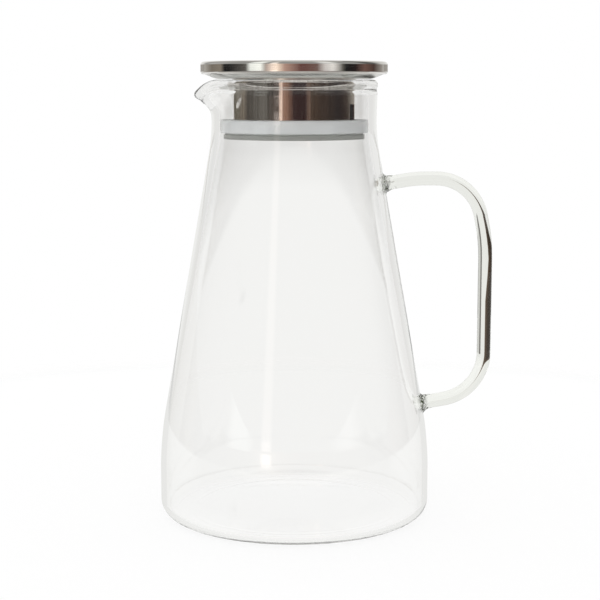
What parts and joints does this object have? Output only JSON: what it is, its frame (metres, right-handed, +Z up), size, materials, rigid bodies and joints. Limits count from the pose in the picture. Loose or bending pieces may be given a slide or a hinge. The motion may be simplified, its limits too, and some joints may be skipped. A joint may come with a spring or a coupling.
{
  "type": "glass pitcher with lid",
  "caption": "Conical clear glass pitcher with a pulled spout, a bent glass rod handle and a lift-off steel lid whose sleeve turns in a silicone gasket to open or close the pour.",
  "frame": {"origin": "on the jug's axis, at the level of the foot ring that stands on the table", "axes": "+Z up along the jug's axis, +X towards the handle, spout towards -X"},
  "size_m": [0.1724, 0.14, 0.2341],
  "materials": {
    "body_glass": "clear polished glass",
    "handle_glass": "clear fire-polished rod",
    "cap_steel": "polished rim and brushed top",
    "plate_steel": "satin steel",
    "sleeve_steel": "brushed steel",
    "core_plastic": "black moulded plastic",
    "gasket_silicone": "translucent milky silicone"
  },
  "bodies": {
    "jug": {"glass_body": "body_glass", "handle": "handle_glass"},
    "seal": {"lid_gasket": "gasket_silicone"},
    "lid": {"lid_cap": "cap_steel", "lid_underplate": "plate_steel", "lid_sleeve": "sleeve_steel", "lid_core": "core_plastic", "core_lock_ring": "core_plastic"}
  },
  "joints": [
    {"name": "lid_lift", "type": "slide", "parent": "jug", "child": "seal", "axis": [0, 0, 1], "range_m": [0, 0.08]},
    {"name": "lid_turn", "type": "hinge", "parent": "seal", "child": "lid", "pos_m": [0, 0, 0.21], "axis": [0, 0, 1], "continuous": true}
  ]
}
